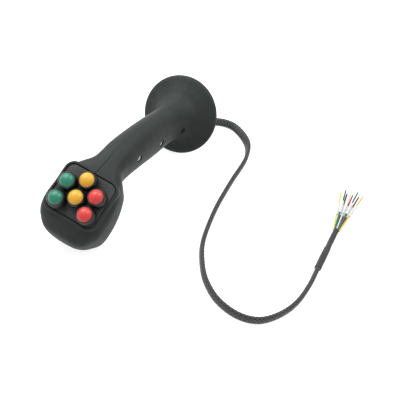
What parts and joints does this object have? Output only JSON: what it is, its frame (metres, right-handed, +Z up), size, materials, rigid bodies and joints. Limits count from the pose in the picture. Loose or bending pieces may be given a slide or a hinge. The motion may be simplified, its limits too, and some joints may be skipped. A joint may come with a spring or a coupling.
{
  "type": "industrial joystick grip",
  "caption": "Moulded joystick grip with round flange, tilted head with coloured push buttons, side screws and a braided cable with free leads.",
  "frame": {"origin": "on the bench, under the middle of the grip's box without its cable", "axes": "+Z up from the bench, -Y towards the grip's head, the grip's plane of symmetry is X = 0"},
  "size_m": [0.2309, 0.2503, 0.0697],
  "materials": {
    "housing": "fine satin texture",
    "zinc": "bright zinc plate",
    "plate": "satin",
    "seal": "soft",
    "terminal": "tinned",
    "cover": "satin",
    "socket": "machined",
    "grommet": "moulded",
    "jacket": "smooth",
    "braid": "flat braided sleeve",
    "shrink": "matt heat-shrink",
    "marker": "plain white sleeve",
    "strand": "bare copper strand",
    "collar": "satin black",
    "cap_green": "satin",
    "cap_yellow": "satin",
    "cap_red": "satin",
    "spring": "wire",
    "nut": "nickel plate",
    "wire_yellow": "insulation",
    "wire_green": "insulation",
    "wire_black": "insulation",
    "wire_white": "insulation",
    "wire_red": "insulation",
    "wire_blue": "insulation",
    "wire_brown": "insulation",
    "wire_orange": "insulation"
  },
  "bodies": {
    "grip": {"left_shell": "housing", "right_shell": "housing", "shell_screws": "zinc", "face_plate": "plate", "button_seals": "seal", "button_terminals": "terminal", "base_cover": "cover", "base_screws": "zinc", "lever_socket": "socket", "cable_grommet": "grommet", "inner_harness": "jacket", "cable_sleeve": "braid", "cable_shrink_1": "shrink", "cable_shrink_2": "shrink", "lead_markers": "marker", "lead_ends": "strand", "body_green_1": "collar", "nut_green_1": "nut", "body_green_2": "collar", "nut_green_2": "nut", "body_yellow_1": "collar", "nut_yellow_1": "nut", "body_yellow_2": "collar", "nut_yellow_2": "nut", "body_red_1": "collar", "nut_red_1": "nut", "body_red_2": "collar", "nut_red_2": "nut", "lead_yellow": "wire_yellow", "lead_green": "wire_green", "lead_black": "wire_black", "lead_white": "wire_white", "lead_red": "wire_red", "lead_blue": "wire_blue", "lead_brown": "wire_brown", "lead_orange": "wire_orange"},
    "button_green_1": {"cap_green_1": "cap_green", "spring_green_1": "spring"},
    "button_green_2": {"cap_green_2": "cap_green", "spring_green_2": "spring"},
    "button_yellow_1": {"cap_yellow_1": "cap_yellow", "spring_yellow_1": "spring"},
    "button_yellow_2": {"cap_yellow_2": "cap_yellow", "spring_yellow_2": "spring"},
    "button_red_1": {"cap_red_1": "cap_red", "spring_red_1": "spring"},
    "button_red_2": {"cap_red_2": "cap_red", "spring_red_2": "spring"}
  },
  "joints": [
    {"name": "press_green_1", "type": "slide", "parent": "grip", "child": "button_green_1", "axis": [0, 0.5308, -0.8475], "range_m": [0, 0.002], "stiffness_N_per_m": 300, "springref_m": -0.004},
    {"name": "press_green_2", "type": "slide", "parent": "grip", "child": "button_green_2", "axis": [0, 0.5308, -0.8475], "range_m": [0, 0.002], "stiffness_N_per_m": 300, "springref_m": -0.004},
    {"name": "press_yellow_1", "type": "slide", "parent": "grip", "child": "button_yellow_1", "axis": [0, 0.5308, -0.8475], "range_m": [0, 0.002], "stiffness_N_per_m": 300, "springref_m": -0.004},
    {"name": "press_yellow_2", "type": "slide", "parent": "grip", "child": "button_yellow_2", "axis": [0, 0.5308, -0.8475], "range_m": [0, 0.002], "stiffness_N_per_m": 300, "springref_m": -0.004},
    {"name": "press_red_1", "type": "slide", "parent": "grip", "child": "button_red_1", "axis": [0, 0.5308, -0.8475], "range_m": [0, 0.002], "stiffness_N_per_m": 300, "springref_m": -0.004},
    {"name": "press_red_2", "type": "slide", "parent": "grip", "child": "button_red_2", "axis": [0, 0.5308, -0.8475], "range_m": [0, 0.002], "stiffness_N_per_m": 300, "springref_m": -0.004}
  ]
}
